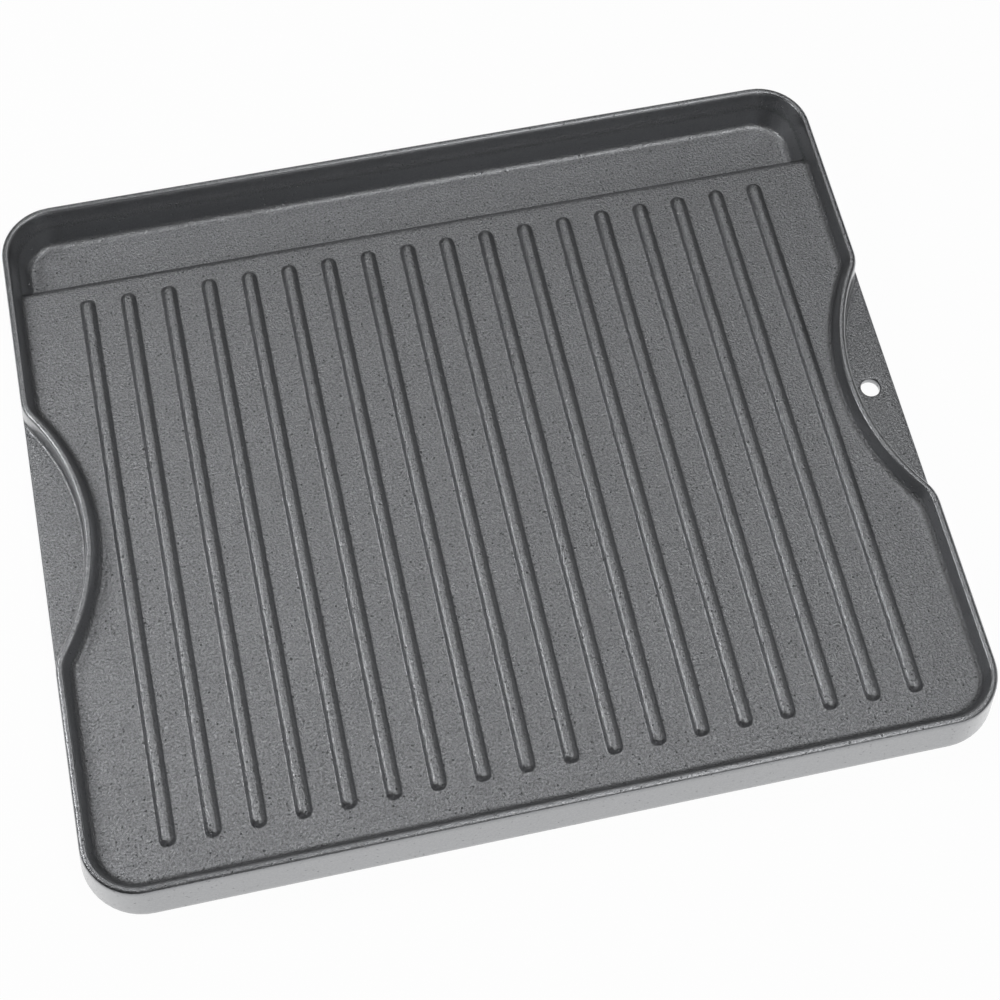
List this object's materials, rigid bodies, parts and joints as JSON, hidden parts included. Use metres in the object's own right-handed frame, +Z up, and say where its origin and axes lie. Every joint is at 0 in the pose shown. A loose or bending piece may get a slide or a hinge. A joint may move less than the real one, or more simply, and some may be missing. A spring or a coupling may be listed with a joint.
{
  "type": "camp griddle plate",
  "caption": "Rectangular cast-iron camp griddle plate with raised rim, parallel grill ribs, a grease trough along the far edge, sunken lifting ledges at the sides and a hanging hole.",
  "frame": {"origin": "centre of the plate on the plane it rests on", "axes": "+X across the ribs towards the ledge with the hanging hole, +Y along the ribs towards the grease trough, +Z up"},
  "size_m": [0.4064, 0.3468, 0.0244],
  "materials": {
    "seasoned_iron": "as-cast pebbled skin, satin"
  },
  "bodies": {
    "root": {"griddle_casting": "seasoned_iron"}
  },
  "joints": []
}
